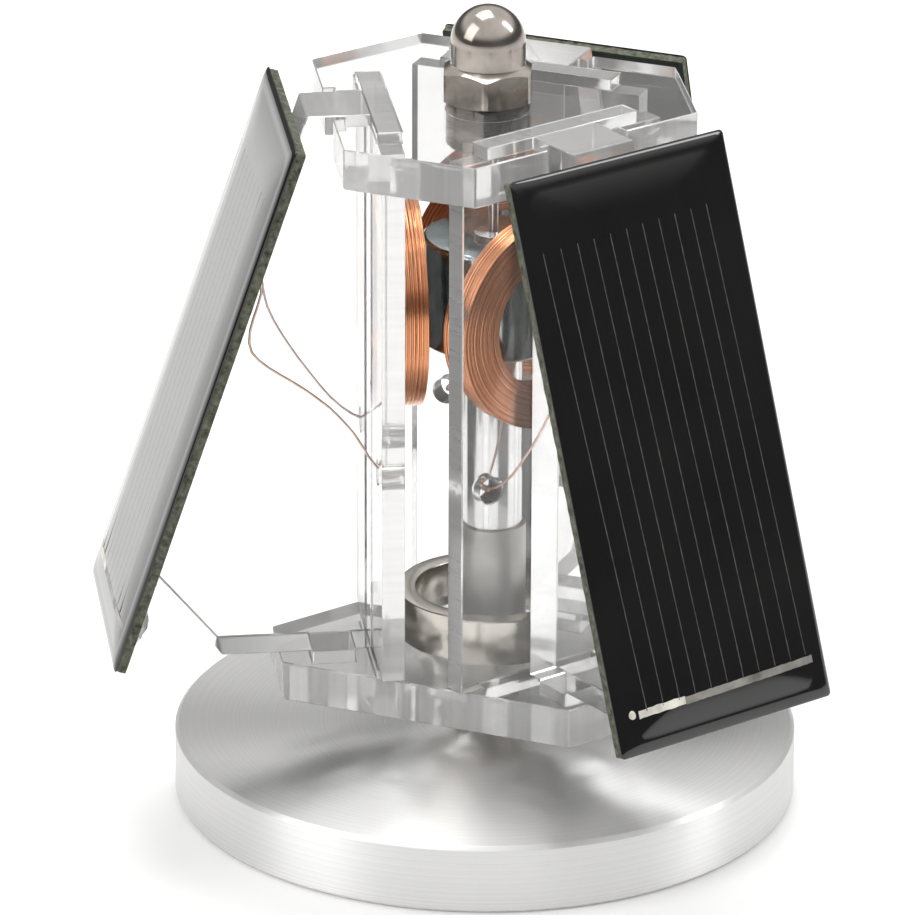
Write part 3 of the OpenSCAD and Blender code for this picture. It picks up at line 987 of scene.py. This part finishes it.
# The lamps, as [name, azimuth, elevation, distance, size, watts], aimed at the middle of the object
LAMP_TARGET = (0, 0, 0.04)
LAMPS = [
    ("overhead", 165, 72, 1.0, (0.5, 0.5), 5),
    ("right_softbox", 56, 40, 1.0, (0.2, 0.5), 2),
    ("left_softbox", -105, 35, 0.9, (0.5, 0.7), 2.2),
]

# The room is dim round its walls and bright overhead. These are the heights on a sphere of radius 1
# between which it brightens, and the two strengths.
DARK_BELOW = 0.23
BRIGHT_ABOVE = 0.54
WALL_STRENGTH = 0.16
CEILING_STRENGTH = 1.05


def area_light(name, azimuth, elevation, distance, size, watts):
    back = direction(azimuth, elevation)
    data = bpy.data.lights.new(name, "AREA")
    data.shape = "RECTANGLE"
    data.size, data.size_y = size
    data.energy = watts
    lamp = bpy.data.objects.new(name, data)
    bpy.context.scene.collection.objects.link(lamp)
    lamp.location = Vector(LAMP_TARGET) + back * distance
    lamp.rotation_euler = back.to_track_quat("Z", "Y").to_euler()


def make_light():
    world = bpy.data.worlds.new("studio")
    bpy.context.scene.world = world
    world.use_nodes = True
    tree = world.node_tree
    sky = tree.nodes["Background"]
    sky.inputs["Color"].default_value = (1.0, 0.995, 0.985, 1)
    place = tree.nodes.new("ShaderNodeTexCoord").outputs["Generated"]
    height = tree.nodes.new("ShaderNodeSeparateXYZ")
    spread = tree.nodes.new("ShaderNodeMapRange")
    spread.interpolation_type = "SMOOTHSTEP"
    spread.inputs["From Min"].default_value = DARK_BELOW
    spread.inputs["From Max"].default_value = BRIGHT_ABOVE
    spread.inputs["To Min"].default_value = WALL_STRENGTH
    spread.inputs["To Max"].default_value = CEILING_STRENGTH
    tree.links.new(place, height.inputs["Vector"])
    tree.links.new(height.outputs["Z"], spread.inputs["Value"])
    tree.links.new(spread.outputs["Result"], sky.inputs["Strength"])
    for lamp in LAMPS:
        area_light(*lamp)


# ---------------------------------------------------------------- the scene

bpy.context.scene.view_settings.view_transform = "Standard"

# The many bounces let light through the stack of clear sheets.
bpy.context.scene.cycles.max_bounces = 24
bpy.context.scene.cycles.transmission_bounces = 24
bpy.context.scene.cycles.transparent_max_bounces = 16

make_camera()
for side_name, side_angle in SIDES.items():
    make_leads(side_name, side_angle)
make_base()
make_post()
make_magnet()
make_needle()
make_ring()
make_bush()
make_nut()
make_cage()
for side_name, side_angle in SIDES.items():
    make_coil(side_name, side_angle)
    make_board(side_name, side_angle)
    make_resin(side_name, side_angle)
    make_contacts(side_name, side_angle)
    make_solder(side_name, side_angle)
    make_joints(side_name, side_angle)
    make_tape(side_name, side_angle)
finish_nodes()
make_floor()
make_light()
